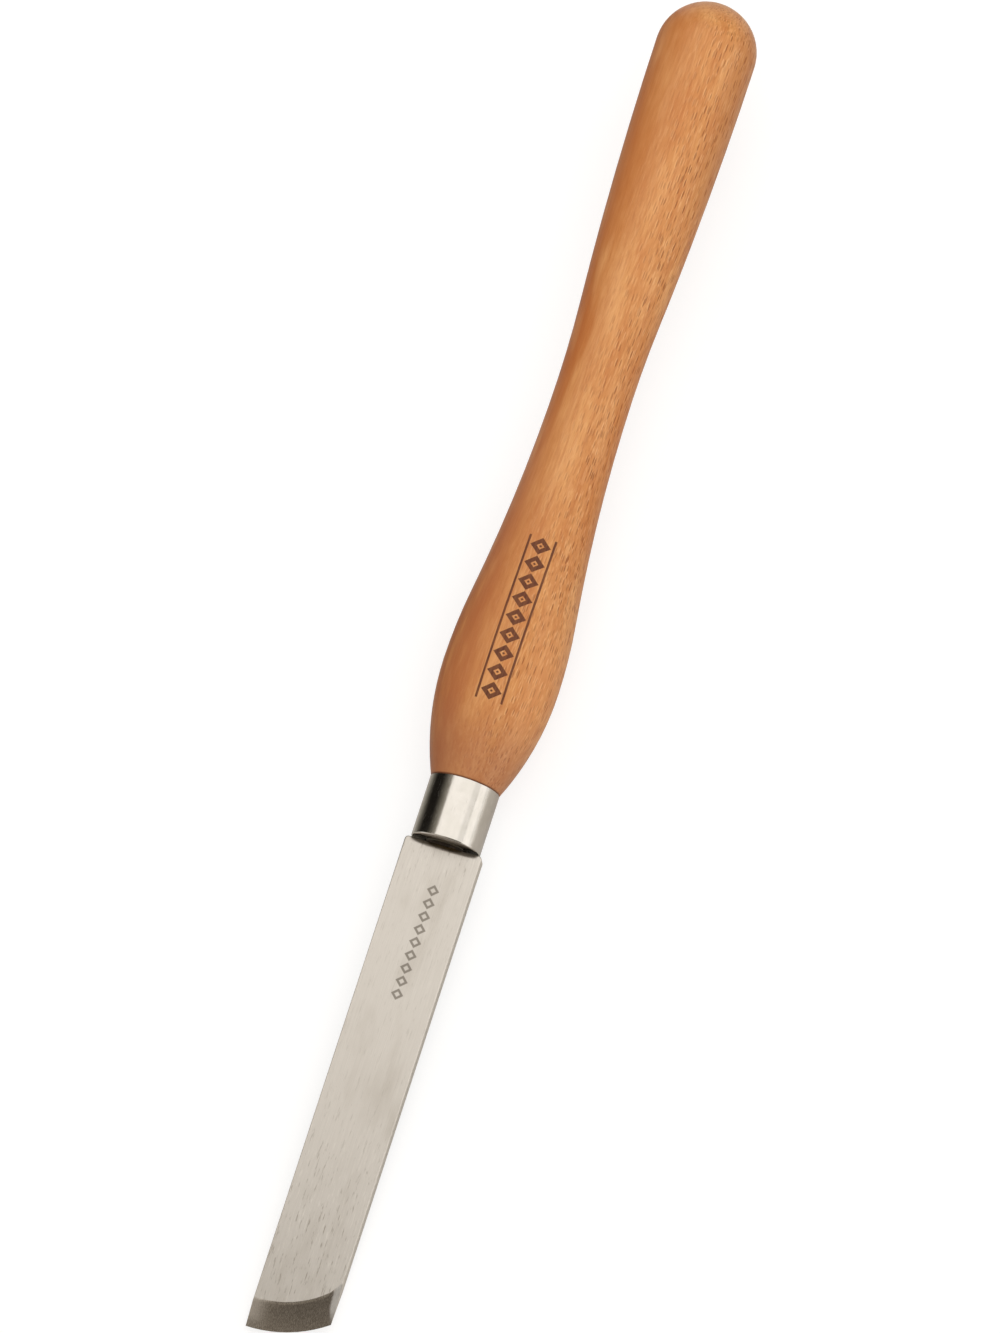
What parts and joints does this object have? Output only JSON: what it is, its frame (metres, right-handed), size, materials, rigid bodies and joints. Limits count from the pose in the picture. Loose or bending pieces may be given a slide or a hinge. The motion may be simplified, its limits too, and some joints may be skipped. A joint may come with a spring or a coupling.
{
  "type": "skew chisel",
  "caption": "Woodturning skew chisel: flat steel blade with a curved slanted edge ground from both faces, polished ferrule and a turned beech handle with a swell and a slim waist.",
  "frame": {"origin": "on the ground plane under the swell, below the middle of the tool's length and width", "axes": "+X along the tool from the butt end towards the cutting edge, +Z square to the blade's upper flat, long point of the edge on the -Y side"},
  "size_m": [0.4575, 0.0382, 0.0382],
  "materials": {
    "tool_steel": "fine lengthwise grind, satin",
    "ferrule_steel": "polished",
    "beech": "clear satin lacquer",
    "epoxy": "hardened resin"
  },
  "bodies": {
    "root": {"blade": "tool_steel", "ferrule": "ferrule_steel", "handle": "beech", "tang_epoxy": "epoxy"}
  },
  "joints": []
}
